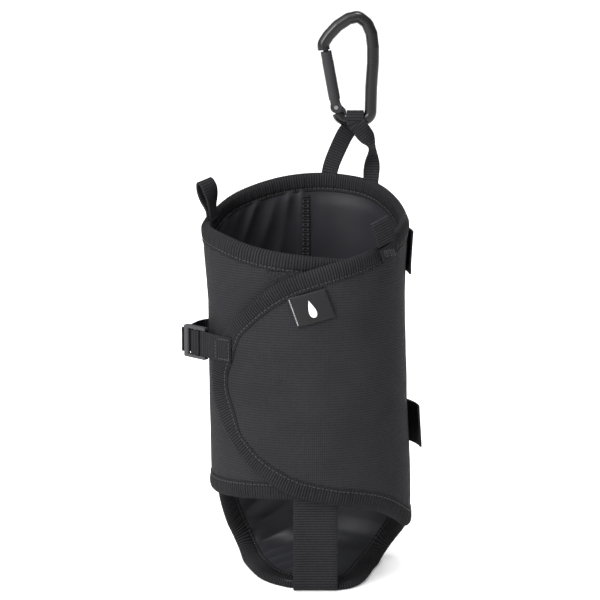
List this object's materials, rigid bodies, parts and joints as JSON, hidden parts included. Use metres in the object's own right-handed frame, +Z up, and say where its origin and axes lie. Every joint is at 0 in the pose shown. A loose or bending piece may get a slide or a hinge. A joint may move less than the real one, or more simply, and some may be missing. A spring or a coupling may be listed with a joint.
{
  "type": "padded bottle holder",
  "caption": "Wrap-around padded bottle sleeve with open foot, strap adjuster, webbing hang loop and carabiner.",
  "frame": {"origin": "middle of the foot's flat underside, below the sleeve's middle line", "axes": "+Z up along the sleeve, -Y towards the foot strap and the flap, +X to the flap's side"},
  "size_m": [0.1382, 0.1084, 0.3197],
  "materials": {
    "shell": "fine grid-weave nylon, matt",
    "liner": "smooth coated taffeta, low sheen",
    "foam": "closed-cell padding",
    "binding": "ribbed grosgrain tape",
    "webbing": "ribbed webbing",
    "patch": "hook-and-loop pile",
    "label": "woven label, satin",
    "clip": "black anodised, satin",
    "pin": "dark steel",
    "buckle": "moulded acetal, semi-gloss"
  },
  "bodies": {
    "sleeve": {"back_shell": "shell", "back_foam": "foam", "back_liner": "liner", "wing_shell": "shell", "wing_foam": "foam", "wing_liner": "liner", "back_rim_binding": "binding", "back_hem_binding": "binding", "wing_binding": "binding", "seam_tape": "binding", "foot_shell": "shell", "foot_foam": "foam", "foot_liner": "liner", "foot_binding": "binding", "foot_strap": "webbing", "wing_loop_patch": "patch", "adjuster_strap": "webbing", "upper_band_anchor": "webbing", "lower_band_anchor": "webbing", "upper_loop_patch": "patch", "lower_loop_patch": "patch"},
    "flap": {"flap_shell": "shell", "flap_foam": "foam", "flap_liner": "liner", "flap_binding": "binding", "flap_hook_patch": "patch", "buckle_tab": "webbing", "right_loop_tails": "webbing"},
    "buckle": {"ladder_lock": "buckle", "adjuster_tail": "webbing"},
    "label_tab": {"label": "label"},
    "left_loop": {"left_utility_loop": "webbing"},
    "right_loop": {"right_utility_loop": "webbing"},
    "hang_strap": {"hang_loop": "webbing"},
    "carabiner": {"carabiner_frame": "clip", "gate_pin": "pin"},
    "gate": {"carabiner_gate": "clip", "gate_spring": "pin"},
    "upper_closure": {"upper_band": "webbing", "upper_hook_patch": "patch"},
    "lower_closure": {"lower_band": "webbing", "lower_hook_patch": "patch"}
  },
  "joints": [
    {"name": "flap_open", "type": "hinge", "parent": "sleeve", "child": "flap", "pos_m": [0.0588, 0, 0.13], "axis": [0, 0, 1], "range_deg": [0, 14]},
    {"name": "buckle_tilt", "type": "hinge", "parent": "flap", "child": "buckle", "pos_m": [-0.0594, -0.0202, 0.1396], "axis": [0, 0, 1], "range_deg": [0, 30]},
    {"name": "label_flip", "type": "hinge", "parent": "flap", "child": "label_tab", "pos_m": [-0.0024, -0.0511, 0.1746], "axis": [-0.9656, 0, -0.26], "range_deg": [0, 110]},
    {"name": "left_loop_bend", "type": "hinge", "parent": "sleeve", "child": "left_loop", "pos_m": [-0.05414, 0.01156, 0.2105], "axis": [0.2683, 0.9274, 0.2606], "range_deg": [-20, 38], "stiffness_Nm_per_rad": 0.003},
    {"name": "right_loop_bend", "type": "hinge", "parent": "flap", "child": "right_loop", "pos_m": [0.0447, -0.0346, 0.1995], "axis": [-0.8464, -0.4021, -0.3492], "range_deg": [-20, 28], "stiffness_Nm_per_rad": 0.003},
    {"name": "hang_loop_fold", "type": "hinge", "parent": "sleeve", "child": "hang_strap", "pos_m": [0.0242, 0.04145, 0.2256], "axis": [-0.914, 0.3943, 0.0958], "range_deg": [-60, 60]},
    {"name": "carabiner_swing", "type": "hinge", "parent": "hang_strap", "child": "carabiner", "pos_m": [0.0263, 0.045, 0.2573], "axis": [-1, 0, 0], "range_deg": [-50, 50]},
    {"name": "gate_open", "type": "hinge", "parent": "carabiner", "child": "gate", "pos_m": [0.0151, 0.045, 0.2646], "axis": [0, 1, 0], "range_deg": [0, 24], "stiffness_Nm_per_rad": 0.02, "springref_deg": -17.19},
    {"name": "upper_band_open", "type": "hinge", "parent": "sleeve", "child": "upper_closure", "pos_m": [-0.02229, 0.04775, 0.1875], "axis": [0, 0, 1], "range_deg": [0, 90]},
    {"name": "lower_band_open", "type": "hinge", "parent": "sleeve", "child": "lower_closure", "pos_m": [-0.02229, 0.04775, 0.085], "axis": [0, 0, 1], "range_deg": [0, 90]}
  ]
}
